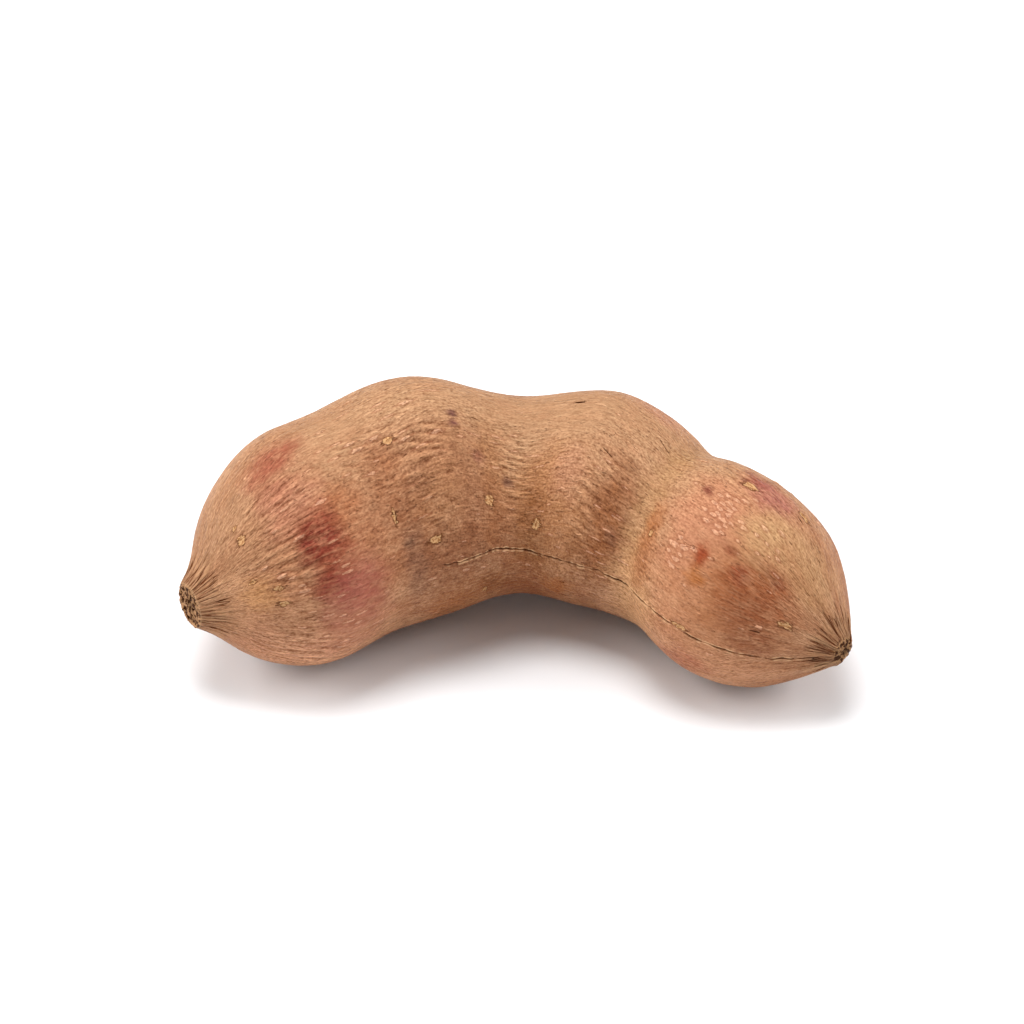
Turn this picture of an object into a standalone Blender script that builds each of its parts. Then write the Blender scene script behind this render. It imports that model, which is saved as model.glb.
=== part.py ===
"""A ripe tamarind pod: one closed, curved shell that swells over its four seeds.

The pod lies on its side with the bend flat on the ground. +X runs from the stem scar to the blossom
tip, the hollow side of the bend faces -Y and +Z is up. The origin is on the ground, under the middle
of the pod. The stations are in millimetres, and the model is in metres.
"""

import bmesh
import bpy
import numpy as np
from mathutils import Vector

MM = 0.001

# Each station is an upright, oval cut through the pod: the middle of the cut (x, y, and z over the
# ground), the pod's heading there in degrees from +X towards +Y, and the cut's half width.
STATIONS = {
    "stem_scar": (-39.0, -13.7, 12.7, 32.0, 2.8),
    "stem_neck": (-37.3, -12.8, 13.0, 32.0, 4.5),
    "stem_shoulder": (-34.0, -10.2, 13.5, 32.0, 9.7),
    "seed_1": (-27.8, -5.4, 14.4, 31.0, 14.5),
    "waist_1": (-20.8, 0.3, 14.7, 31.0, 14.7),
    "seed_2": (-10.4, 6.5, 15.3, 19.0, 15.5),
    "waist_2": (0.4, 7.1, 14.6, 1.0, 12.5),
    "seed_3": (10.9, 7.4, 14.0, -20.0, 14.1),
    "waist_3": (20.0, -0.3, 13.4, -35.0, 12.0),
    "seed_4": (26.9, -8.2, 12.8, -40.0, 12.9),
    "tip_shoulder": (32.7, -13.6, 11.9, -44.0, 10.5),
    "tip_neck": (37.6, -17.7, 10.6, -44.0, 4.2),
    "blossom_tip": (39.0, -18.7, 10.0, -44.0, 2.1),
}
FLATTENING = 0.97  # half height as a share of the half width
CUTS_PER_SPAN = 3
SIDES = 36

SHELL_COLOUR = (0.47, 0.25, 0.13, 1.0)
SHELL_ROUGHNESS = 0.62


def clear_scene():
    for obj in list(bpy.data.objects):
        bpy.data.objects.remove(obj, do_unlink=True)


def shell_material():
    material = bpy.data.materials.new("dry_pod_shell")
    material.use_nodes = True
    shader = material.node_tree.nodes["Principled BSDF"]
    shader.inputs["Base Color"].default_value = SHELL_COLOUR
    shader.inputs["Roughness"].default_value = SHELL_ROUGHNESS
    shader.inputs["Metallic"].default_value = 0.0
    return material


def smooth_cuts(stations, cuts_per_span):
    """Cuts along the pod, read from one cubic curve that passes through every station."""
    rows = np.array(list(stations.values()))
    steps = np.linalg.norm(np.diff(rows[:, :3], axis=0), axis=1)
    along = np.concatenate([[0.0], np.cumsum(steps)])
    slopes = np.gradient(rows, along, axis=0)
    cuts = []
    for i, length in enumerate(steps):
        for t in np.arange(cuts_per_span) / cuts_per_span:
            cuts.append(
                (2 * t**3 - 3 * t**2 + 1) * rows[i]
                + (t**3 - 2 * t**2 + t) * length * slopes[i]
                + (3 * t**2 - 2 * t**3) * rows[i + 1]
                + (t**3 - t**2) * length * slopes[i + 1]
            )
    return [*cuts, rows[-1]]


def place_ring(ring, cut):
    """Moves a ring of vertices onto one upright oval cut of the pod."""
    x, y, z, heading, half_width = cut
    turn = np.radians(heading)
    across = Vector((np.sin(turn), -np.cos(turn), 0.0)) * half_width * MM
    upright = Vector((0.0, 0.0, 1.0)) * half_width * FLATTENING * MM
    angles = np.linspace(0.0, 2 * np.pi, len(ring), endpoint=False)
    for vertex, angle in zip(ring, angles):
        vertex.co = Vector((x, y, z)) * MM + across * np.cos(angle) + upright * np.sin(angle)


def rest_on_origin(bm):
    """Slides the pod so that it stands on z = 0 with the middle of its box over the origin."""
    corners = np.array([vertex.co for vertex in bm.verts])
    low, high = corners.min(axis=0), corners.max(axis=0)
    middle = (low + high) / 2
    bmesh.ops.translate(bm, verts=bm.verts, vec=(-middle[0], -middle[1], -low[2]))


def grow_pod(name, cuts):
    """A disc at the stem scar, extruded from cut to cut as far as the blossom tip."""
    bm = bmesh.new()
    ring = bmesh.ops.create_circle(bm, cap_ends=True, segments=SIDES, radius=MM)["verts"]
    place_ring(ring, cuts[0])
    edges = list({edge for vertex in ring for edge in vertex.link_edges})
    for cut in cuts[1:]:
        grown = bmesh.ops.extrude_edge_only(bm, edges=edges)["geom"]
        ring = [item for item in grown if isinstance(item, bmesh.types.BMVert)]
        edges = [item for item in grown if isinstance(item, bmesh.types.BMEdge)]
        place_ring(ring, cut)
    bmesh.ops.contextual_create(bm, geom=edges)
    bmesh.ops.recalc_face_normals(bm, faces=bm.faces)
    rest_on_origin(bm)
    mesh = bpy.data.meshes.new(name)
    bm.to_mesh(mesh)
    bm.free()
    mesh.shade_smooth()
    mesh.materials.append(shell_material())
    return bpy.data.objects.new(name, mesh)


def main():
    clear_scene()
    collection = bpy.data.collections.new("tamarind_pod")
    bpy.context.scene.collection.children.link(collection)
    collection.objects.link(grow_pod("pod", smooth_cuts(STATIONS, CUTS_PER_SPAN)))


main()
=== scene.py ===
import math

import bpy
import numpy as np
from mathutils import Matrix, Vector, noise


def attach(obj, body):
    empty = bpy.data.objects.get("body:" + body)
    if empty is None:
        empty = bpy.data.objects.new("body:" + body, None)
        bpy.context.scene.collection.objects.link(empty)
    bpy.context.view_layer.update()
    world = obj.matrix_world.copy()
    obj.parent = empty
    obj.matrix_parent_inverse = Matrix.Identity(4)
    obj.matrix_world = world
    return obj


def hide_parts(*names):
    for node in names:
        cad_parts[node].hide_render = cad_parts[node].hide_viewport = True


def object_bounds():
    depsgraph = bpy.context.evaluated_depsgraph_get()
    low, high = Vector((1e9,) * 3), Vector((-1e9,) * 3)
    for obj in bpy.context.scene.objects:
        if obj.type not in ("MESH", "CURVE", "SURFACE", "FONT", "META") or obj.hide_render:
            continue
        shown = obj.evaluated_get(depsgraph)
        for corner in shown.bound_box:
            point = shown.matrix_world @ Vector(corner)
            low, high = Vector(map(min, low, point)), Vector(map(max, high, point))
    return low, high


# A ripe tamarind pod lying on its side on a pale table, hollow side of the bend to the camera.
# Places on the pod are given as two numbers: millimetres along the skin from the stem scar, and
# degrees around, 0 on the hollow side's seam, 90 on top, 180 on the outer side of the bend.

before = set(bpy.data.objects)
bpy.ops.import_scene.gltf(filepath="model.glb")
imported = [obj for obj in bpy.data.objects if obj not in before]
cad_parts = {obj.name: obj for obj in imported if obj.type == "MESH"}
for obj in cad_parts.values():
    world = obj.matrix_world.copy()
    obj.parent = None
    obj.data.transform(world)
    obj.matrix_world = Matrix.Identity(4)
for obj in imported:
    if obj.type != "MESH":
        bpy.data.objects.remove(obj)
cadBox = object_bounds()
mm = 0.001
print("frame loaded")


def hexColour(code):
    # sRGB hex to the linear numbers that shaders take
    parts = [int(code[i:i + 2], 16) / 255 for i in (1, 3, 5)]
    return [c / 12.92 if c <= 0.04045 else ((c + 0.055) / 1.055) ** 2.4 for c in parts] + [1.0]


def fade(value, low, high):
    # smooth step from 0 at low to 1 at high
    t = np.clip((value - low) / (high - low), 0.0, 1.0)
    return t * t * (3.0 - 2.0 * t)


podShell = {
    # the line through the middle of the pod: x, y, z, heading in degrees, half width, lengths in mm
    "line": {
        "stemScar": (-39.0, -13.7, 12.7, 32.0, 2.8),
        "stemNeck": (-37.3, -12.8, 13.0, 32.0, 4.5),
        "stemShoulder": (-34.0, -10.2, 13.5, 32.0, 9.7),
        "seedOne": (-27.8, -5.4, 14.4, 31.0, 14.5),
        "waistOne": (-20.8, 0.3, 14.7, 31.0, 14.7),
        "seedTwo": (-10.4, 6.5, 15.3, 19.0, 15.5),
        "waistTwo": (0.4, 7.1, 14.6, 1.0, 12.5),
        "seedThree": (10.9, 7.4, 14.0, -20.0, 14.1),
        "waistThree": (20.0, -0.3, 13.4, -35.0, 12.0),
        "seedFour": (26.9, -8.2, 12.8, -40.0, 12.9),
        "tipShoulder": (32.7, -13.6, 11.9, -44.0, 10.5),
        "tipNeck": (37.6, -17.7, 10.6, -44.0, 4.2),
        "blossomTip": (39.0, -18.7, 10.0, -44.0, 2.1),
    },
    "flattening": 0.97,  # half height as a share of half width
    # rings cut into the scar's face and grown out of the tip's: inset and depth in mm
    "scarRings": [(0.30, -0.06), (0.45, -0.12), (0.55, 0.04), (0.60, 0.03)],
    "tipRings": [(0.35, 0.30), (0.50, 0.25), (0.50, 0.10)],
    "smoothing": 2,  # how many times smoothing divides each face
    "fullSize": 0.09,  # mm that smoothing takes off the pod and the sculpting gives back
    # the split down the seam of the hollow side: along, around
    "crackPath": [
        (34.0, 2.6), (38.0, 0.9), (43.0, 2.4), (46.3, 3.9), (51.0, 1.6), (55.0, 0.0), (58.7, -1.0),
        (65.7, -1.3), (69.8, 0.6), (72.2, -1.2), (74.0, -1.7), (76.2, -0.3), (80.6, 1.7), (85.5, 2.4),
        (88.1, 0.5), (91.2, -0.4), (95.2, -3.7), (98.1, -7.0), (101.1, -7.3), (104.5, -3.0),
    ],
    # where the split gapes: from, to along the pod, and half width, all in mm
    "crackOpenings": [
        (34.5, 38.5, 0.04), (38.0, 43.0, 0.05), (43.0, 46.5, 0.05), (46.0, 51.5, 0.075),
        (51.5, 56.5, 0.06), (57.0, 62.0, 0.07), (62.5, 66.5, 0.06), (68.0, 70.5, 0.045),
        (70.7, 75.6, 0.11), (75.4, 80.2, 0.12), (80.4, 85.4, 0.09), (87.0, 89.8, 0.11),
        (91.0, 94.0, 0.08), (94.5, 97.0, 0.055), (97.5, 101.0, 0.07), (101.5, 104.0, 0.04),
    ],
    "crackWaver": 0.14,  # mm the split wanders to either side of its path
    "crackDepth": 0.30,
    "lipHeight": 0.07,
    # short splits in the skin: along, around, length, half width, degrees off the pod's own line
    "nicks": [
        (28.6, 34.6, 1.9, 0.04, 74.0), (59.0, 95.0, 1.4, 0.24, 0.0), (65.7, 63.9, 2.0, 0.04, -12.0),
        (71.6, 93.0, 2.6, 0.04, -14.0), (95.9, 18.8, 1.3, 0.05, 4.0), (91.3, 112.0, 1.2, 0.07, -10.0),
        (34.0, 150.0, 1.8, 0.04, 20.0), (80.0, 165.0, 2.0, 0.035, -12.0),
        (52.0, -90.0, 1.8, 0.04, 15.0), (20.0, -150.0, 1.6, 0.04, 60.0), (96.0, -80.0, 1.5, 0.04, 0.0),
    ],
    "nickDepth": 0.14,
    # corky scabs: along, around, length, width
    "scabs": [
        (31.7, 70.5, 1.4, 1.1), (9.2, 68.5, 1.0, 0.9), (45.4, 31.0, 1.8, 1.2), (33.8, 16.9, 2.0, 0.9),
        (55.0, 18.0, 1.6, 1.2), (44.0, -23.5, 0.9, 1.0), (84.7, 101.0, 1.9, 0.9),
        (77.4, 40.5, 0.7, 0.8), (28.4, 35.0, 0.6, 1.9), (9.3, 79.5, 0.7, 0.5), (99.0, 34.0, 1.6, 0.7),
        (86.3, 3.9, 2.2, 0.55), (11.3, 26.0, 1.2, 0.6), (11.5, 15.0, 1.6, 0.6), (8.2, 36.5, 0.9, 0.5),
        (91.0, 118.0, 1.6, 0.8), (62.0, 150.0, 1.4, 1.1), (24.0, 160.0, 1.3, 1.0),
        (37.0, -70.0, 1.5, 1.1), (70.0, -95.0, 1.2, 1.0), (88.0, -120.0, 1.6, 1.0),
        (47.0, -140.0, 1.2, 1.2), (17.0, -110.0, 1.3, 0.9),
    ],
    "scabRim": 0.06,
    "scabHollow": 0.07,
    # valleys between the lobes: along, half width in mm, around, reach in degrees, depth in mm
    "creases": [
        (74.2, 2.6, 70.0, 140.0, 0.85), (28.6, 3.2, 5.0, 70.0, 0.50), (52.5, 3.6, 15.0, 75.0, 0.35),
        (74.0, 3.2, -140.0, 70.0, 0.40), (27.5, 3.4, 175.0, 55.0, 0.35),
        (51.5, 3.6, -150.0, 70.0, 0.35),
    ],
    # fuller places: along, around, length, width, height
    "swellings": [
        (85.5, 50.0, 17.0, 26.0, 0.30), (17.5, 25.0, 18.0, 26.0, 0.25), (39.0, 50.0, 16.0, 22.0, 0.20),
        (62.0, 50.0, 14.0, 20.0, 0.20),
    ],
    # unevenness of all the skin: height, and the length and width of its bumps, all in mm, shift
    "bumps": [(0.15, 9.0, 6.5, 0.0), (0.05, 3.6, 2.6, 5.0), (0.035, 4.5, 1.5, 1.0)],
    # where the skin has dried into ripples: along, around, length, width, strength
    "rippleZones": [
        (15.5, 50.0, 15.0, 21.0, 0.75), (35.0, 58.0, 16.0, 19.0, 0.9), (51.0, 50.0, 8.0, 16.0, 0.7),
        (67.0, 38.0, 12.0, 20.0, 0.6), (83.0, 104.0, 9.0, 7.0, 0.45), (93.0, 48.0, 9.0, 9.0, 0.3),
        (14.0, -26.0, 17.0, 14.0, 0.75), (27.0, 74.0, 9.0, 8.0, 0.6), (24.0, -130.0, 14.0, 16.0, 0.7),
        (40.0, 165.0, 16.0, 15.0, 0.7), (60.0, -150.0, 12.0, 14.0, 0.8), (72.0, 160.0, 12.0, 12.0, 0.7),
        (50.0, -75.0, 12.0, 14.0, 0.8), (90.0, -110.0, 12.0, 13.0, 0.6),
    ],
    "rippleSpacing": 1.15,  # mm from one ripple to the next
    "ripplesElsewhere": 0.16,  # how strong they are outside the zones
    "rippleHeight": 0.14,
    # pleats at the ends: how many, shortest, longest in mm, and how much more they reach underneath
    "stemPleats": (46, 2.2, 5.6, 0.7),
    "tipPleats": (42, 1.8, 5.0, 0.3),
    "pleatDepth": 0.17,
    # blisters: along, around, spread along, spread across in mm, how many, usual length
    "blisters": [
        (85.3, 75.0, 1.2, 1.6, 66, 1.15), (82.9, 40.0, 0.8, 1.2, 20, 1.15),
        (90.5, 72.0, 2.6, 2.4, 12, 0.8), (86.3, 66.0, 0.8, 0.8, 12, 1.05),
        (88.0, 38.0, 6.0, 7.0, 5, 0.7), (86.0, 170.0, 5.0, 6.0, 22, 0.9),
        (30.0, -160.0, 4.0, 5.0, 16, 0.9),
    ],
    # long narrow ones, the same way
    "dashes": [
        (24.0, 76.0, 3.0, 2.6, 14, 1.5), (20.0, -2.0, 3.6, 4.2, 26, 1.5),
        (33.0, 80.0, 4.0, 3.0, 18, 1.9), (14.0, 24.0, 3.0, 3.4, 10, 1.4),
        (57.0, 40.0, 6.0, 5.0, 14, 1.2), (91.5, 31.0, 4.0, 6.0, 5, 1.0),
        (40.0, -10.0, 6.0, 5.0, 8, 1.3), (60.0, 160.0, 9.0, 8.0, 22, 1.5),
        (30.0, -110.0, 9.0, 8.0, 22, 1.5),
    ],
    # fibres that show through the skin as fine pale lines, the same way
    "strands": [
        (70.5, 20.0, 1.8, 4.6, 18, 2.1), (50.5, 52.0, 2.2, 4.0, 10, 2.0),
        (36.0, 66.0, 4.0, 3.0, 10, 2.2),
    ],
    # narrowest and widest as a share of length, and how far apart they keep, 0.5 where they touch
    "shapesOf": {
        "blisters": (0.42, 0.58, 0.58),
        "dashes": (0.18, 0.28, 0.85),
        "strands": (0.09, 0.13, 0.85),
    },
    "blisterHeight": 0.10,
    # pits where the strands of the stalk broke off: mm from the scar's middle, how many, width
    "pitRings": [(2.30, 13, 0.27), (1.45, 8, 0.24), (0.6, 4, 0.22)],
    "pitDepth": 0.28,
    "scarRim": 0.14,
    # where the skin is taut and its grain faint: along, around, length, width
    "smoothPlaces": [
        (88.0, 40.0, 18.0, 26.0), (21.0, 2.0, 12.0, 20.0), (84.0, 160.0, 16.0, 18.0),
        (40.0, -120.0, 16.0, 16.0), (25.0, 90.0, 14.0, 16.0), (57.0, 92.0, 24.0, 16.0),
    ],
    # colours that have come and gone in patches: along, around, length, width, colour, strength
    "blushes": [
        # the first row, paler along the top of the whole pod, is partly the skin's own tone and partly
        # painted light from above
        (52.0, 102.0, 100.0, 42.0, "#AA8360", 0.80), (8.0, 60.0, 14.0, 34.0, "#966E4C", 0.5),
        (6.0, 12.0, 6.0, 9.0, "#C4946C", 0.5), (13.0, 10.0, 20.0, 24.0, "#A67251", 0.5),
        (38.0, 22.0, 22.0, 28.0, "#7E4D30", 0.7), (58.0, 25.0, 18.0, 24.0, "#A87045", 0.65),
        (89.0, 34.0, 22.0, 30.0, "#AC7049", 0.7), (30.0, 42.0, 9.0, 22.0, "#895130", 0.7),
        (46.5, 50.0, 7.0, 12.0, "#98643C", 0.55), (46.5, 20.0, 8.0, 12.0, "#8C5834", 0.6),
        (46.5, -20.0, 9.0, 8.0, "#713C14", 0.75), (97.5, 58.0, 8.0, 10.0, "#935938", 0.75),
        (14.0, -34.0, 20.0, 14.0, "#C68F6D", 0.6), (40.0, -32.0, 18.0, 14.0, "#935A32", 0.75),
        (88.0, -34.0, 22.0, 16.0, "#C18F6B", 0.6), (20.5, 40.0, 9.0, 18.0, "#96532E", 0.65),
        (17.6, 92.0, 9.5, 8.5, "#914F39", 0.9), (16.2, 66.0, 10.0, 9.0, "#A66751", 0.55),
        (17.7, 47.0, 6.0, 5.0, "#74291A", 0.95), (17.6, 38.5, 6.4, 5.6, "#70261A", 0.95),
        (17.8, 19.0, 6.4, 4.6, "#7A3022", 0.9), (19.0, 32.0, 6.0, 13.0, "#843C2A", 0.55),
        (21.4, 8.0, 11.0, 14.0, "#985245", 0.8), (20.0, -16.0, 11.0, 9.0, "#A66A50", 0.6),
        (8.6, 25.0, 6.5, 5.0, "#BC8858", 0.65), (30.3, 10.0, 4.2, 16.0, "#74503E", 0.5),
        (29.6, 20.5, 1.7, 1.8, "#5E3E2E", 0.75), (36.5, 44.0, 15.0, 14.0, "#A2734F", 0.6),
        (33.2, 45.0, 6.0, 5.6, "#75472D", 0.5), (41.7, 75.5, 2.0, 1.5, "#50242A", 0.9),
        (41.4, 69.0, 2.0, 1.4, "#582A2E", 0.85), (44.3, 52.0, 3.0, 2.2, "#7C4A3A", 0.65),
        (49.7, 42.0, 2.8, 1.6, "#5C382E", 0.7), (53.6, 6.0, 8.0, 18.0, "#86532C", 0.7),
        (54.5, 30.0, 4.6, 8.0, "#84522E", 0.6), (54.0, -38.0, 16.0, 14.0, "#8A4E2B", 0.75),
        (60.0, -22.0, 8.0, 4.5, "#A05F30", 0.7), (60.5, 47.0, 7.0, 8.0, "#B27F62", 0.55),
        (67.5, 124.0, 11.0, 9.0, "#B47E64", 0.6), (69.4, 29.0, 8.4, 18.0, "#784421", 0.8),
        (67.5, 10.0, 9.5, 12.0, "#85522F", 0.7), (71.1, 24.0, 3.0, 2.4, "#5C3828", 0.6),
        (74.6, 40.0, 5.0, 50.0, "#A27A52", 0.7), (76.0, -6.0, 12.0, 16.0, "#C6976B", 0.7),
        (83.6, 62.0, 12.0, 18.0, "#B57C5D", 0.75), (81.5, 80.0, 2.3, 1.7, "#74382A", 0.85),
        (84.6, 109.0, 6.5, 6.0, "#884236", 0.8), (87.8, 106.0, 7.0, 6.5, "#9A5850", 0.8),
        (77.2, 44.0, 3.8, 7.0, "#94562A", 0.75), (77.4, 23.0, 5.0, 9.0, "#99603A", 0.65),
        (86.2, 46.5, 2.4, 3.4, "#8C3A18", 0.9), (86.6, 35.5, 3.6, 2.8, "#995518", 0.75),
        (93.4, 46.0, 10.0, 13.0, "#8B4A28", 0.8), (91.4, 50.0, 3.4, 3.0, "#7C341A", 0.85),
        (89.2, 58.5, 2.4, 1.7, "#85432A", 0.7), (92.1, 63.6, 2.4, 1.6, "#78361E", 0.7),
        (94.9, 62.5, 4.0, 2.2, "#73371F", 0.75), (91.0, 80.0, 9.0, 9.0, "#BE986B", 0.6),
        (97.0, 93.0, 11.0, 9.0, "#AA8259", 0.65), (86.5, -24.0, 10.0, 6.5, "#9A563C", 0.75),
        (85.0, 14.0, 11.0, 12.0, "#B9835F", 0.6), (95.0, 20.0, 9.0, 9.0, "#8B5234", 0.7),
        (29.0, 168.0, 16.0, 14.0, "#965640", 0.65), (19.0, -105.0, 14.0, 16.0, "#9A6246", 0.6),
        (62.0, -110.0, 14.0, 14.0, "#885834", 0.65), (88.0, 172.0, 12.0, 10.0, "#94503E", 0.7),
        (74.0, -150.0, 6.0, 34.0, "#B6885E", 0.7), (43.0, -130.0, 16.0, 14.0, "#A4684C", 0.6),
        (51.0, 150.0, 7.0, 18.0, "#8E6040", 0.6),
    ],
    "colours": {
        "skin": "#A06D4C",
        "skinPaler": "#AD7F5D",
        "creamMottle": "#B98B68",
        "brownMottle": "#80502F",
        "fleck": "#5A3018",
        # pale blister colour: partly the blisters' own paler skin, partly painted highlight
        "blister": "#E4B48E",
        "blisterFoot": "#84482E",
        "scab": "#D3A473",
        "scabDarker": "#A06C40",
        "scabRing": "#5E3418",
        # pleat and furrow colours: painted shade in the grooves at the ends
        "pleat": "#5A2C14",
        "furrow": "#54260E",
        "ridge": "#D0A074",
        "tornLip": "#DEB084",
        # painted shade along the edges of the splits and inside them
        "hairlineShade": "#4A2A17",
        "creviceShade": "#40200E",
        "cork": "#C8966A",
        "corkDarker": "#4E2A14",
        "scarRim": "#D2A47A",
        # painted shade in the pits of the stem scar
        "pit": "#371A0B",
        # how much a feature keeps of the red, green and blue that are there
        # ends of the tone laid over the skin: painted shade in the ripples' valleys and painted
        # highlight on their crests, mixed with the grain's own darker and lighter tone
        "valleyShadeAndDarkGrain": (0.50, 0.37, 0.29, 1.0),
        "crestHighlightAndPaleGrain": (1.50, 1.58, 1.66, 1.0),
        "onDashes": (1.55, 1.68, 1.80, 1.0),
        # the blisters' pale lift is partly their own colour and partly painted highlight
        "onBlistersPaleAndHighlit": (1.7, 1.8, 1.9, 1.0),
    },
}
print("pod shell listed")

lineCutsPerSpan = 24
spotsAtOnce = 8000  # how many places are worked out together
skinRadius = 14.0  # mm; the pod's usual radius, on which the skin's patterns are drawn
degreesPerMm = 4.6  # a millimetre round the pod, near enough for scattering


def smoothLine(stations, cutsPerSpan):
    rows = np.array(list(stations.values()))
    steps = np.linalg.norm(np.diff(rows[:, :3], axis=0), axis=1)
    slopes = np.gradient(rows, np.concatenate([[0.0], np.cumsum(steps)]), axis=0)
    cuts = []
    for i, length in enumerate(steps):
        for t in np.arange(cutsPerSpan) / cutsPerSpan:
            cuts.append(
                (2 * t**3 - 3 * t**2 + 1) * rows[i]
                + (t**3 - 2 * t**2 + t) * length * slopes[i]
                + (3 * t**2 - 2 * t**3) * rows[i + 1]
                + (t**3 - t**2) * length * slopes[i + 1]
            )
    return np.array([*cuts, rows[-1]])


lineCuts = smoothLine(podShell["line"], lineCutsPerSpan)
lineTurn = np.radians(lineCuts[:, 3])
lineAhead = np.stack([np.cos(lineTurn), np.sin(lineTurn), 0 * lineTurn], axis=1)
lineInner = np.stack([np.sin(lineTurn), -np.cos(lineTurn)], axis=1)
skinSteps = np.linalg.norm(np.diff(lineCuts[:, [0, 1, 2, 4]], axis=0), axis=1)
lineAlong = np.concatenate([[0.0], np.cumsum(skinSteps)])
podLength = lineAlong[-1]


def placesOnPod(points):
    # along in mm, around in degrees and radius in mm, for points in metres
    spots = np.asarray(points, dtype=float) / mm
    along, around, radius = (np.empty(len(spots)) for _ in range(3))
    numbers = np.arange(len(lineCuts))
    for first in range(0, len(spots), spotsAtOnce):
        part = spots[first:first + spotsAtOnce]
        ahead = part @ lineAhead.T - (lineCuts[:, :3] * lineAhead).sum(axis=1)
        crossing = (ahead[:, :-1] >= 0) & (ahead[:, 1:] < 0)
        share = np.where(crossing, ahead[:, :-1] / (ahead[:, :-1] - ahead[:, 1:] + 1e-12), 0.0)
        middles = lineCuts[:-1, :3] + np.diff(lineCuts[:, :3], axis=0) * share[..., None]
        gap = np.where(crossing, np.linalg.norm(part[:, None] - middles, axis=2), 1e9)
        span = gap.argmin(axis=1)
        cut = span + share[np.arange(len(part)), span]
        last = len(lineCuts) - 1.0
        cut = np.where(crossing.any(axis=1), cut, np.where(ahead[:, 0] < 0, 0.0, last))
        middle = np.stack([np.interp(cut, numbers, lineCuts[:, i]) for i in range(3)], axis=1)
        inner = np.stack([np.interp(cut, numbers, lineInner[:, i]) for i in range(2)], axis=1)
        off = part - middle
        side = (off[:, :2] * inner).sum(axis=1)
        height = off[:, 2] / podShell["flattening"]
        reach = np.hypot(side, height)
        here = np.interp(cut, numbers, lineAlong)
        onFace = (cut < lineCutsPerSpan / 2) & (reach < lineCuts[0, 4])
        here = np.where((cut <= 0) | onFace, reach - lineCuts[0, 4], here)
        here = np.where(cut >= last, podLength + lineCuts[-1, 4] - reach, here)
        along[first:first + spotsAtOnce] = here
        around[first:first + spotsAtOnce] = np.degrees(np.arctan2(height, side))
        radius[first:first + spotsAtOnce] = reach
    return along, around, radius


def turnBetween(around, other):
    return (around - other + 180.0) % 360.0 - 180.0


def ovalReach(place, spot):
    # 0 at an oval's middle, 1 at its edge; spot is along, around, length, width
    along, around, radius = place
    lengthwise = (along - spot[0]) / (spot[2] / 2)
    across = np.radians(turnBetween(around, spot[1])) * radius / (spot[3] / 2)
    return np.hypot(lengthwise, across)


def nearestOval(place, spots):
    return np.minimum.reduce([ovalReach(place, spot) for spot in spots])


def onStraightPod(place):
    # the same places in mm on a pod that is straight and even in thickness
    turn = np.radians(place[1])
    return place[0], skinRadius * np.cos(turn), skinRadius * np.sin(turn)


def skinNoise(place, length, width, shift=0.0):
    # noise from -1 to 1 that is drawn out along the pod
    down, side, height = onStraightPod(place)
    spots = np.stack([down / length + shift, side / width, height / width], axis=1)
    return np.array([noise.noise(spot) for spot in spots.tolist()])


def selectFaces(shell, chosen):
    bpy.ops.object.mode_set(mode="OBJECT")
    shell.data.vertices.foreach_set("select", np.zeros(len(shell.data.vertices), dtype=bool))
    shell.data.edges.foreach_set("select", np.zeros(len(shell.data.edges), dtype=bool))
    shell.data.polygons.foreach_set("select", np.asarray(chosen, dtype=bool))
    bpy.context.tool_settings.mesh_select_mode = (False, False, True)
    bpy.ops.object.mode_set(mode="EDIT")


def vertexPoints(shell):
    points = np.empty(len(shell.data.vertices) * 3)
    shell.data.vertices.foreach_get("co", points)
    return points.reshape(-1, 3)


def faceMiddles(shell):
    middles = np.empty(len(shell.data.polygons) * 3)
    shell.data.polygons.foreach_get("center", middles)
    return middles.reshape(-1, 3)


def startShell():
    # a merged copy of the CAD pod, with its triangles joined up into rings of four-sided faces
    shell = bpy.data.objects.new("podShell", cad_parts["pod"].data.copy())
    shell.data.materials.clear()
    bpy.context.scene.collection.objects.link(shell)
    bpy.ops.object.select_all(action="DESELECT")
    shell.select_set(True)
    bpy.context.view_layer.objects.active = shell
    bpy.ops.object.mode_set(mode="EDIT")
    bpy.ops.mesh.select_all(action="SELECT")
    bpy.ops.mesh.remove_doubles(threshold=0.01 * mm)
    bpy.ops.mesh.customdata_custom_splitnormals_clear()
    bpy.ops.mesh.select_all(action="DESELECT")
    bpy.ops.object.mode_set(mode="OBJECT")
    along, around, _ = placesOnPod(vertexPoints(shell))
    ends = np.empty(len(shell.data.edges) * 2, dtype=int)
    shell.data.edges.foreach_get("vertices", ends)
    one, other = ends.reshape(-1, 2).T
    # edges that slant from ring to ring, and those that cut across an end face, in mm and degrees
    ringWidth, slantTurn, cutTurn = 0.25, 4.0, 15.0
    sameRing = abs(along[one] - along[other]) < ringWidth
    turn = abs(turnBetween(around[one], around[other]))
    slanting = (~sameRing & (turn > slantTurn)) | (sameRing & (turn > cutTurn))
    shell.data.edges.foreach_set("select", slanting)
    bpy.context.tool_settings.mesh_select_mode = (False, True, False)
    bpy.ops.object.mode_set(mode="EDIT")
    bpy.ops.mesh.dissolve_edges(use_verts=False)
    return shell


def sinkEndFaces(shell):
    # the scar's face is stepped inwards in rings, and the tip's grows out into a small knob
    fewestSides = 8  # every other face has fewer
    for rings, atStem in ((podShell["scarRings"], True), (podShell["tipRings"], False)):
        bpy.ops.object.mode_set(mode="OBJECT")
        sides = np.array([len(face.vertices) for face in shell.data.polygons])
        middles = faceMiddles(shell)
        endFace = (sides > fewestSides) & ((middles[:, 0] < 0) == atStem)
        selectFaces(shell, endFace)
        for inset, depth in rings:
            bpy.ops.mesh.inset(thickness=inset * mm, depth=depth * mm)
        bpy.ops.mesh.poke()
    bpy.ops.object.mode_set(mode="OBJECT")


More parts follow.
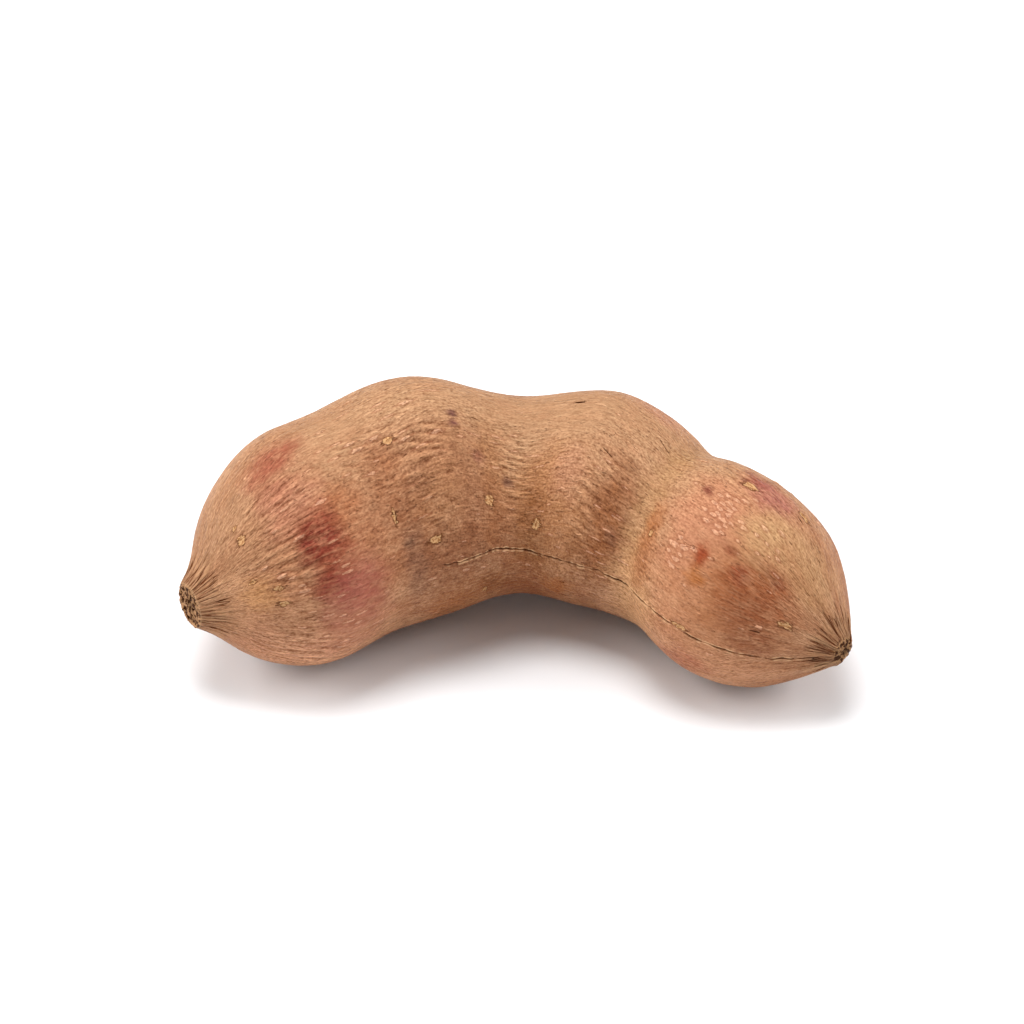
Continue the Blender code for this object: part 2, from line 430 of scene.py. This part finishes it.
def smoothShell(shell):
    smoother = shell.modifiers.new("smoothSkin", "SUBSURF")
    smoother.levels = podShell["smoothing"]
    smoother.render_levels = podShell["smoothing"]
    bpy.ops.object.modifier_apply(modifier=smoother.name)


def refine(shell, chosen):
    selectFaces(shell, chosen)
    bpy.ops.mesh.subdivide(number_cuts=1)
    bpy.ops.object.mode_set(mode="OBJECT")


def crackAt(along):
    path = np.array(podShell["crackPath"])
    return np.interp(along, path[:, 0], path[:, 1])


def beyondCrack(along):
    # mm past the nearer end of the crack, negative between its ends
    first, last = podShell["crackPath"][0], podShell["crackPath"][-1]
    return np.maximum(first[0] - along, along - last[0])


def crackAcross(place):
    # signed mm from the crack, upper side positive; past its ends, the distance to the end
    along, around, radius = place
    waver = np.array([noise.noise((a / 1.3, 7.0, 3.0)) for a in along.tolist()])
    across = np.radians(turnBetween(around, crackAt(along))) * radius
    across = across + podShell["crackWaver"] * waver
    beyond = beyondCrack(along)
    return np.where(beyond > 0, np.hypot(across, beyond), across)


def crackOpening(along):
    wide = np.zeros(len(along))
    for start, end, half in podShell["crackOpenings"]:
        middle, reach = (start + end) / 2, (end - start) / 2
        oval = np.clip(1.0 - ((along - middle) / reach) ** 2, 0.0, 1.0)
        wide = np.maximum(wide, half * np.sqrt(oval))
    return wide


def nickReach(place, nick):
    # mm off the nick's own line, and how far along it, 0 in the middle and 1 at the ends
    along, around, radius = place
    tilt = math.radians(nick[4])
    lengthwise = along - nick[0]
    across = np.radians(turnBetween(around, nick[1])) * radius
    down = (lengthwise * math.cos(tilt) + across * math.sin(tilt)) / (nick[2] / 2)
    return across * math.cos(tilt) - lengthwise * math.sin(tilt), abs(down)


def refineShell(shell):
    # all but the ends once, round every mark once more, and along the crack a third time
    endLeft, crackReach, nickSide, crackCore = 2.0, 0.7, 0.35, 0.3  # mm
    markReach, nickLength = 1.5, 1.1  # shares of their own sizes
    place = placesOnPod(faceMiddles(shell))
    refine(shell, (place[0] > endLeft) & (place[0] < podLength - endLeft))
    place = placesOnPod(faceMiddles(shell))
    marks = nearestOval(place, podShell["scabs"] + blisterList)
    nearCrack = (abs(crackAcross(place)) < crackReach) & (place[0] < podLength)
    nearNick = np.zeros(len(place[0]), dtype=bool)
    for nick in podShell["nicks"]:
        off, down = nickReach(place, nick)
        nearNick |= (abs(off) < nickSide) & (down < nickLength)
    refine(shell, (marks < markReach) | nearCrack | nearNick)
    place = placesOnPod(faceMiddles(shell))
    refine(shell, (abs(crackAcross(place)) < crackCore) & (place[0] < podLength - 1.0))


def scatterBlisters(clusters, narrowest, widest, apartness, taken):
    # ovals thrown down round each cluster's middle; one too close to another is left out
    for along, around, spreadAlong, spreadAcross, count, usual in clusters:
        for _ in range(count):
            down = along + draws.normal(0.0, spreadAlong)
            turned = around + draws.normal(0.0, spreadAcross) * degreesPerMm
            length = usual * draws.uniform(0.65, 1.25)
            width = length * draws.uniform(narrowest, widest)
            apart = [
                math.hypot(
                    (down - near[0]) / (length + near[2]),
                    (turned - near[1]) / degreesPerMm / (width + near[3]),
                )
                for near in taken
            ]
            if min(apart, default=1.0) > apartness:
                taken.append((down, turned, length, width))


draws = np.random.default_rng(11)
blisterList = []
for kind in ("blisters", "dashes", "strands"):
    scatterBlisters(podShell[kind], *podShell["shapesOf"][kind], blisterList)

shell = startShell()
sinkEndFaces(shell)
smoothShell(shell)
print("shell smoothed:", len(shell.data.polygons), "faces")
refineShell(shell)
print("shell refined:", len(shell.data.polygons), "faces")
shell.data.shade_smooth()

points = vertexPoints(shell)
place = placesOnPod(points)
along, around, _ = place
normals = np.empty(len(points) * 3)
shell.data.vertices.foreach_get("normal", normals)
normals = normals.reshape(-1, 3)
print("places found")


def keepNumbers(shell, name, *columns):
    # one, three or four numbers for each vertex, which the material reads
    kinds = {1: ("FLOAT", "value"), 3: ("FLOAT_VECTOR", "vector"), 4: ("FLOAT_COLOR", "color")}
    kind, key = kinds[len(columns)]
    layer = shell.data.attributes.new(name, kind, "POINT")
    layer.data.foreach_set(key, np.stack(columns, axis=1).astype(np.float32).ravel())


def rippleField(place):
    # ripples along the pod where the skin has shrunk over its pulp, broken up and out of step
    strength = np.zeros(len(place[0]))
    edge = 0.35 * skinNoise(place, 3.0, 2.2, 4.0)
    for *zone, strongest in podShell["rippleZones"]:
        inZone = 1.0 - fade(ovalReach(place, zone) + edge, 0.35, 1.1)
        strength = np.maximum(strength, strongest * inZone)
    around = np.radians(place[1]) * skinRadius / podShell["rippleSpacing"]
    step = 1.2 * skinNoise(place, 8.0, 3.8, 15.0) + 0.25 * skinNoise(place, 2.6, 1.2, 16.0)
    waves = np.sin(2 * np.pi * (around + step + 0.13 * place[0]))
    broken = np.clip(0.85 + 1.5 * skinNoise(place, 3.2, 1.1, 17.0), 0.05, 1.0)
    short = skinNoise(place, 1.5, 0.42, 9.0)
    relief = np.clip(waves * broken + 0.25 * short, -1.0, 1.0)
    return relief * np.maximum(strength, podShell["ripplesElsewhere"]), strength


def furrowField(place, fromEnd, rayCount, shortest, longest, extra):
    # pleats that run out from an end of the pod, deep at the end and dying away over the first lobe
    along, around, radius = place
    depth = np.zeros(len(along))
    near = fromEnd < longest * (1.0 + extra)
    for ray in range(rayCount):
        turnTo = (ray + draws.uniform(-0.35, 0.35)) * 360.0 / rayCount - 180.0
        underneath = max(0.0, math.cos(math.radians(turnTo + 35.0)))
        reach = draws.uniform(shortest, longest) * (1.0 + extra * underneath)
        width = draws.uniform(0.06, 0.10)
        strength = draws.uniform(0.5, 1.0)
        bend = draws.uniform(-1.0, 1.0)
        off = np.radians(turnBetween(around[near], turnTo + bend * fromEnd[near])) * radius[near]
        wide = width * (1.0 + 0.06 * fromEnd[near])
        one = strength * np.exp(-((off / wide) ** 2)) * (1.0 - fade(fromEnd[near], reach * 0.45, reach))
        depth[near] = np.maximum(depth[near], one)
    return depth


keepNumbers(shell, "grain", *onStraightPod(place))

height = np.full(len(points), podShell["fullSize"])
for tall, length, width, shift in podShell["bumps"]:
    height += tall * skinNoise(place, length, width, shift)
relief, rippled = rippleField(place)
height += podShell["rippleHeight"] * relief
fromTip = podLength - along
pleats = furrowField(place, along, *podShell["stemPleats"])
pleats = np.maximum(pleats, furrowField(place, fromTip, *podShell["tipPleats"]))
for crease, wide, middle, reach, depth in podShell["creases"]:
    off = along - crease + 0.5 * skinNoise(place, 9.0, 6.0, 2.0)
    valley = np.exp(-((off / wide) ** 2))
    height -= depth * valley * (1.0 - fade(abs(turnBetween(around, middle)), reach * 0.3, reach))
for *spot, tall in podShell["swellings"]:
    height += tall * (1.0 - fade(ovalReach(place, spot), 0.0, 1.1))
height -= podShell["pleatDepth"] * pleats * fade(np.minimum(along, fromTip), -0.2, 0.6)
print("ripples and pleats shaped")

across = crackAcross(place)
opening = crackOpening(along)
onCrack = fade(-beyondCrack(along), 0.0, 2.0)
splitDepth = np.full(len(points), podShell["crackDepth"])
nearNick = np.full(len(points), 1.0)
for nick in podShell["nicks"]:
    off, down = nickReach(place, nick)
    distance = np.hypot(off, np.maximum(down - 1.0, 0.0) * nick[2] / 2)
    mine = distance < nearNick
    nearNick[mine] = distance[mine]
    across[mine] = off[mine]
    opening[mine] = nick[3] * np.sqrt(np.clip(1.0 - down[mine] ** 2, 0.0, 1.0))
    onCrack[mine] = 0.5 - 0.5 * fade(down[mine], 0.7, 1.15)
    splitDepth[mine] = podShell["nickDepth"]
lipNoise = skinNoise(place, 0.8, 4.0, 21.0)
lips = np.exp(-(((abs(across) - opening - 0.15) / 0.12) ** 2))
lips *= np.clip(0.65 + 1.3 * lipNoise, 0.0, 1.3) * onCrack
height += podShell["lipHeight"] * lips
split = (1.0 - fade(abs(across), opening * 0.6, opening + 0.08)) * fade(opening, 0.0, 0.05)
height -= splitDepth * split + 0.04 * np.exp(-((across / 0.12) ** 2)) * onCrack
keepNumbers(shell, "split", np.clip(across, -3.0, 3.0), opening, lips)

scabEdge = nearestOval(place, podShell["scabs"]) + 0.45 * skinNoise(place, 0.7, 0.45, 3.0)
height += podShell["scabRim"] * np.exp(-(((scabEdge - 1.0) / 0.3) ** 2))
height -= podShell["scabHollow"] * (1.0 - fade(scabEdge, 0.3, 0.95))
blisterReach = nearestOval(place, blisterList)
height += podShell["blisterHeight"] * (1.0 - fade(blisterReach, 0.3, 1.3))
print("splits, scabs and blisters shaped")

# the stem scar's face: a ragged rim round rings of pits where the strands of the stalk broke off
scarReach = along + lineCuts[0, 4]  # mm from the scar's middle
onScar = 1.0 - fade(along, 0.0, 0.35)
pits = np.zeros(len(points))
for ringAt, count, wide in podShell["pitRings"]:
    for i in range(count):
        turnTo = (i + draws.uniform(-0.25, 0.25)) * 360.0 / count
        pitAt = ringAt + draws.uniform(-0.18, 0.18)
        broad = wide * draws.uniform(0.7, 1.25)
        sideways = np.radians(turnBetween(around, turnTo)) * np.clip(scarReach, 0.0, 3.0)
        outwards = scarReach - pitAt
        pits = np.maximum(pits, np.exp(-((sideways / broad) ** 2 + (outwards / 0.24) ** 2)))
pits *= onScar
rim = np.exp(-((along / 0.30) ** 2)) * (0.7 + 0.9 * skinNoise(place, 1.0, 3.2, 6.0))
height += podShell["scarRim"] * rim - podShell["pitDepth"] * pits
height += 0.10 * onScar * skinNoise(place, 0.5, 2.4, 8.0)
onTip = fade(along, podLength + 0.1, podLength + 0.7)
height += 0.16 * fade(along, podLength - 1.6, podLength) * skinNoise(place, 1.6, 2.6, 12.0)
height += 0.06 * np.exp(-(((along - podLength) / 0.35) ** 2))

shell.data.vertices.foreach_set("co", (points + normals * height[:, None] * mm).ravel())
shell.data.update()

# patches of colour, laid over one another in order
patchColour = np.zeros((len(points), 3))
patchShare = np.zeros(len(points))
for number, (*spot, colour, strength) in enumerate(podShell["blushes"]):
    reach = ovalReach(place, spot)
    close = reach < 2.2
    closePlace = tuple(part[close] for part in place)
    size = min(spot[2], spot[3])
    ragged = 0.35 * skinNoise(closePlace, 0.45 * size + 0.4, 0.3 * size + 0.3, 3.7 * number)
    ragged += 0.18 * skinNoise(closePlace, 1.2, 0.5, 1.3 * number)
    share = np.zeros(len(points))
    share[close] = strength * (1.0 - fade(reach[close] + ragged, 0.25, 1.25))
    total = share + patchShare * (1.0 - share)
    over = (share / np.maximum(total, 1e-6))[:, None]
    patchColour = patchColour * (1.0 - over) + np.array(hexColour(colour)[:3]) * over
    patchShare = total
keepNumbers(shell, "patch", *patchColour.T, patchShare)
keepNumbers(shell, "marks", np.minimum(scabEdge, 3.0), np.minimum(blisterReach, 3.0), relief)
keepNumbers(shell, "hollows", pleats, pits, onCrack)
keepNumbers(shell, "ends", onScar, onTip, rippled)
ragged = 1.0 + 0.5 * skinNoise(place, 60.0, 1.6, 31.0)
gathered = 1.0 - fade(along / ragged, 1.2, 5.6) + 1.0 - fade(fromTip / ragged, 0.6, 4.0)
keepNumbers(shell, "gathered", gathered)
tautness = 1.0 - fade(nearestOval(place, podShell["smoothPlaces"]), 0.3, 1.2)
keepNumbers(shell, "tautness", tautness)
print("colour laid out")


def addNode(tree, kind, feeds=None, **settings):
    # one node, its settings, and what feeds each of its sockets
    made = tree.nodes.new("ShaderNode" + kind)
    for name, value in settings.items():
        setattr(made, name, value)
    for name, value in (feeds or {}).items():
        if isinstance(value, bpy.types.NodeSocket):
            tree.links.new(value, made.inputs[name])
        else:
            made.inputs[name].default_value = value
    return made


def threeNumbers(tree, name):
    # what keepNumbers put on the shell under this name
    kept = addNode(tree, "Attribute", attribute_name=name)
    return addNode(tree, "SeparateXYZ", {0: kept.outputs["Vector"]}).outputs


def grainNoise(tree, grain, length, width, detail, shift=0.0):
    # noise in mm, drawn out along the pod
    stretch = (1.0 / length, 1.0 / width, 1.0 / width)
    feeds = {0: grain, 1: stretch, 2: (shift, shift, shift)}
    scaled = addNode(tree, "VectorMath", feeds, operation="MULTIPLY_ADD").outputs[0]
    return addNode(tree, "TexNoise", {"Vector": scaled, "Scale": 1.0, "Detail": detail}).outputs[0]


def masked(tree, *masks):
    # masks multiplied together; each is a socket, a number, or a smooth step (socket, low, high),
    # which may end with the two values to step between where they aren't 0 and 1
    product = None
    for mask in masks:
        if isinstance(mask, tuple):
            socket, low, high, start, end = (*mask, 0.0, 1.0)[:5]
            feeds = {"Value": socket, "From Min": low, "From Max": high, "To Min": start, "To Max": end}
            mask = addNode(tree, "MapRange", feeds, interpolation_type="SMOOTHSTEP").outputs[0]
        if product is None:
            product = mask
        else:
            product = addNode(tree, "Math", {0: product, 1: mask}, operation="MULTIPLY").outputs[0]
    return product


def weighedSum(tree, total, *terms):
    # a first value, and then each socket times its weight
    for socket, weight in terms:
        feeds = {0: socket, 1: weight, 2: total}
        total = addNode(tree, "Math", feeds, operation="MULTIPLY_ADD").outputs[0]
    return total


def coated(tree, under, over, *masks, how="MIX"):
    # one colour over another, as far as the masks let it through
    under, over = (hexColour(paint) if isinstance(paint, str) else paint for paint in (under, over))
    feeds = {0: masked(tree, *masks), 6: under, 7: over}
    return addNode(tree, "Mix", feeds, data_type="RGBA", blend_type=how).outputs[2]


def dryPodShell():
    # the brittle shell of a tamarind that dried on the tree: matt tan, furry with fine fibres under
    # the skin, flecked brown and cream, with a dull shine only where the skin is taut
    material = bpy.data.materials.new("driedTamarindShell")
    material.use_nodes = True
    tree = material.node_tree
    shader = tree.nodes["Principled BSDF"]
    paint = podShell["colours"]
    grain = addNode(tree, "Attribute", attribute_name="grain").outputs["Vector"]
    patch = addNode(tree, "Attribute", attribute_name="patch").outputs
    gathered = addNode(tree, "Attribute", attribute_name="gathered").outputs["Fac"]
    taut = addNode(tree, "Attribute", attribute_name="tautness").outputs["Fac"]
    scab, blister, relief = threeNumbers(tree, "marks")
    pleat, pit, onSplit = threeNumbers(tree, "hollows")
    scarFace, tipKnob, rippled = threeNumbers(tree, "ends")
    off, gap, lip = threeNumbers(tree, "split")

    # broad mottling about 9 mm long, and smaller about 3 mm long
    broad = grainNoise(tree, grain, 9.0, 5.0, 2.0)
    small = grainNoise(tree, grain, 2.6, 1.5, 2.5, 11.0)
    colour = coated(tree, paint["skin"], paint["skinPaler"], (broad, 0.36, 0.62))
    colour = coated(tree, colour, paint["creamMottle"], (small, 0.50, 0.72, 0.0, 0.40))
    colour = coated(tree, colour, paint["brownMottle"], (small, 0.48, 0.30, 0.0, 0.35))

    # patches of blush, thinner where the fibres run
    fibres = grainNoise(tree, grain, 1.3, 0.34, 2.0, 3.0)
    uneven = weighedSum(tree, fibres, (small, 1.0))
    thinner = (uneven, 1.25, 0.85, 0.65, 1.0)
    colour = coated(tree, colour, patch["Color"], patch["Alpha"], thinner)

    # the ripples' relief lightens the colour on their crests as a painted highlight and darkens it in
    # their valleys as painted shade; crimps between them, fibres and grains lighten and darken the
    # colour that is there; the real fibres and grains are nearer 0.1 mm, drawn coarser so that they
    # show
    crimps = grainNoise(tree, grain, 2.0, 0.36, 1.0, 61.0)
    grains = grainNoise(tree, grain, 0.40, 0.25, 1.0, 23.0)
    crimped = masked(tree, weighedSum(tree, -0.5, (crimps, 1.0)), (rippled, 0.1, 0.8, 0.3, 0.95))
    fine = weighedSum(tree, -1.075, (fibres, 0.9), (grains, 1.25))
    fine = masked(tree, fine, (taut, 0.0, 1.0, 1.0, 0.55))
    tone = weighedSum(tree, 0.5, (relief, 0.34), (crimped, 1.0), (fine, 1.0))
    # painted shade in ripple valleys and painted highlight on ripple crests, together with the grain's
    # own lighter and darker tone
    shadeAndGrain = coated(tree, paint["valleyShadeAndDarkGrain"], paint["crestHighlightAndPaleGrain"], tone)
    colour = coated(tree, colour, shadeAndGrain, 1.0, how="MULTIPLY")
    fleck = masked(tree, (grainNoise(tree, grain, 0.7, 0.24, 0.5, 31.0), 0.68, 0.78))
    colour = coated(tree, colour, paint["fleck"], fleck, (taut, 0.0, 1.0, 0.50, 0.28))
    dash = masked(tree, (grainNoise(tree, grain, 1.5, 0.30, 0.5, 47.0), 0.70, 0.78))
    colour = coated(tree, colour, paint["onDashes"], dash, 0.75, how="MULTIPLY")

    # blisters: taut and pale, partly in their own colour and partly with painted highlight, and a
    # little shiny; scabs: corky ochre, browned round part of the edge
    ragged = weighedSum(tree, -0.85, (grainNoise(tree, grain, 0.55, 0.35, 1.0, 83.0), 1.7))
    blister = weighedSum(tree, ragged, (blister, 1.0))
    scab = weighedSum(tree, ragged, (scab, 1.0))
    blisterTop = masked(tree, (blister, 1.20, 0.65))
    colour = coated(tree, colour, paint["blisterFoot"], (blister, 1.9, 1.2, 0.0, 0.35))
    # paler blister tops and edges: partly their own colour, partly painted highlight
    paleAndHighlitBlister = coated(tree, colour, paint["onBlistersPaleAndHighlit"], 1.0, how="MULTIPLY")
    paleAndHighlitBlister = coated(tree, paleAndHighlitBlister, paint["blister"], 0.5)
    paleEdge = (blister, -0.1, 0.60, 0.40, 1.0)
    speckled = (grains, 0.40, 0.60, 0.45, 0.80)
    colour = coated(tree, colour, paleAndHighlitBlister, blisterTop, paleEdge, speckled)
    browned = (grains, 0.60, 0.42, 0.55, 0.95)
    colour = coated(tree, colour, paint["scabRing"], (scab, 1.60, 1.22), browned)
    corky = coated(tree, paint["scab"], paint["scabDarker"], (grains, 0.46, 0.60))
    colour = coated(tree, colour, corky, (scab, 1.12, 0.88), 0.85)

    # pleats at the ends, and furrows with ridges between them that run together there; the pleats and
    # furrows are darkened with painted shade
    # painted shade in the pleat grooves
    colour = coated(tree, colour, paint["pleat"], (pleat, 0.40, 0.95, 0.0, 0.55))
    rays = weighedSum(tree, -0.5, (grainNoise(tree, grain, 9.0, 1.7, 1.0, 71.0), 1.0))
    rays = addNode(tree, "Math", {0: rays}, operation="ABSOLUTE").outputs[0]
    drawn = masked(tree, (gathered, 0.05, 0.75))
    taper = weighedSum(tree, 0.02, (drawn, 1.0))
    tapered = addNode(tree, "Math", {0: rays, 1: taper}, operation="DIVIDE").outputs[0]
    furrow = masked(tree, (tapered, 0.037, 0.012))
    ridge = masked(tree, (rays, 0.05, 0.11), drawn)
    # painted shade in the furrows
    colour = coated(tree, colour, paint["furrow"], furrow, (fibres, 0.62, 0.42, 0.50, 1.0))
    colour = coated(tree, colour, paint["ridge"], ridge, 0.34)

    # the split down the seam and the small nicks, darkened inside and along their edges with painted
    # shade, with pale torn lips
    colour = coated(tree, colour, paint["tornLip"], (lip, 0.30, 0.95), 0.72)
    off = addNode(tree, "Math", {0: off}, operation="ABSOLUTE").outputs[0]
    edge = weighedSum(tree, off, (gap, -1.0))
    creviceShade = masked(tree, (edge, 0.05, -0.02), (gap, 0.0, 0.03))
    # painted shade along the edges of the split and inside its gap
    colour = coated(tree, colour, paint["hairlineShade"], (edge, 0.07, 0.0), onSplit, 0.45)
    colour = coated(tree, colour, paint["creviceShade"], creviceShade)

    # broken stalk and blossom end: cork and strands, with pits where strands have gone, darkened with
    # painted shade
    inPlace = addNode(tree, "TexCoord").outputs["Object"]
    crumbSize = 0.42 * mm
    feeds = {"Vector": inPlace, "Scale": 1.0 / crumbSize, "Detail": 1.0}
    crumbs = addNode(tree, "TexNoise", feeds).outputs[0]
    cork = coated(tree, paint["corkDarker"], paint["cork"], (crumbs, 0.43, 0.53))
    ends = addNode(tree, "Math", {0: scarFace, 1: tipKnob}, operation="MAXIMUM").outputs[0]
    colour = coated(tree, colour, cork, ends, 0.9)
    offFace = weighedSum(tree, 1.0, (scarFace, -1.0))
    colour = coated(tree, colour, paint["scarRim"], scarFace, offFace, 2.4)
    # painted shade in the pits
    colour = coated(tree, colour, paint["pit"], (pit, 0.2, 0.7))
    tree.links.new(colour, shader.inputs["Base Color"])

    rough = weighedSum(tree, masked(tree, (small, 0.35, 0.65, 0.48, 0.60)), (blisterTop, -0.14))
    tree.links.new(rough, shader.inputs["Roughness"])
    shader.inputs["IOR"].default_value = 1.45
    # the skin is dusty and scatters what it reflects, the taut blisters catch the light, and no
    # light comes back out of the splits and pits
    inside = {0: creviceShade, 1: masked(tree, pit, 1.5)}
    dark = addNode(tree, "Math", inside, operation="MAXIMUM", use_clamp=True).outputs[0]
    dark = addNode(tree, "Math", {0: dark, 1: furrow}, operation="MAXIMUM").outputs[0]
    lit = weighedSum(tree, 1.0, (dark, -1.0))
    shine = masked(tree, (blisterTop, 0.0, 1.0, 0.12, 0.30), lit)
    tree.links.new(shine, shader.inputs["Specular IOR Level"])

    skinLift = [(fibres, 1.1), (grains, 0.5), (crimped, 1.2), (fleck, -0.5), (dash, 0.35)]
    lift = weighedSum(tree, 0.0, *skinLift, (furrow, -1.0), (ridge, 0.6))
    bump = addNode(tree, "Bump", {"Height": lift, "Distance": 0.15 * mm, "Strength": 1.0})
    tree.links.new(bump.outputs[0], shader.inputs["Normal"])
    return material


shell.data.materials.append(dryPodShell())
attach(shell, "root")
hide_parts("pod")
shell.data.calc_loop_triangles()
print("pod shell done:", len(shell.data.loop_triangles), "triangles")

table = {
    "size": 3.0,
    "colour": "#F1F2F4",
    "roughness": 0.9,
}
bpy.ops.object.select_all(action="DESELECT")
bpy.ops.mesh.primitive_plane_add(size=table["size"], location=(0.0, 0.0, 0.0))
floor = bpy.context.object
floor.name = "table"
tableTop = bpy.data.materials.new("matteWhiteTable")
tableTop.use_nodes = True
tableShader = tableTop.node_tree.nodes["Principled BSDF"]
tableShader.inputs["Base Color"].default_value = hexColour(table["colour"])
tableShader.inputs["Roughness"].default_value = table["roughness"]
floor.data.materials.append(tableTop)

studio = {
    "sky": 0.365,
    "lamps": {  # place in metres, aim, size in metres, watts
        "softboxOverhead": ((-0.045, 0.035, 0.60), (0.0, 0.0, 0.01), 0.30, 2.60),
        "softboxLeft": ((-0.55, 0.0, 0.34), (0.0, 0.0, 0.01), 0.5, 3.5),
        "softboxRight": ((0.55, 0.0, 0.34), (0.0, 0.0, 0.01), 0.5, 2.75),
    },
}
sky = bpy.data.worlds.new("studioSky")
sky.use_nodes = True
sky.node_tree.nodes["Background"].inputs["Color"].default_value = (1.0, 1.0, 1.0, 1.0)
sky.node_tree.nodes["Background"].inputs["Strength"].default_value = studio["sky"]
bpy.context.scene.world = sky
for name, (spot, aim, size, watts) in studio["lamps"].items():
    lamp = bpy.data.objects.new(name, bpy.data.lights.new(name, "AREA"))
    lamp.data.shape = "SQUARE"
    lamp.data.size = size
    lamp.data.energy = watts
    lamp.location = spot
    lamp.rotation_euler = (Vector(aim) - Vector(spot)).to_track_quat("-Z", "Y").to_euler()
    bpy.context.scene.collection.objects.link(lamp)

view = {
    "lens": 100.0,
    "elevation": 35.0,
    "distance": 0.3556,
    "aim": (-0.2, 3.5, -0.7),  # mm off the box's middle
}
low, high = cadBox
aim = (Vector(low) + Vector(high)) / 2 + Vector(view["aim"]) * mm
tilt = math.radians(view["elevation"])
camera = bpy.data.objects.new("camera", bpy.data.cameras.new("camera"))
camera.data.lens = view["lens"]
camera.data.sensor_width = 36.0
camera.location = aim + Vector((0.0, -math.cos(tilt), math.sin(tilt))) * view["distance"]
camera.rotation_euler = (math.pi / 2 - tilt, 0.0, 0.0)
camera.data.clip_start = 0.01
bpy.context.scene.collection.objects.link(camera)
bpy.context.scene.camera = camera
bpy.context.scene.view_settings.view_transform = "Standard"
print("table, light and camera set")
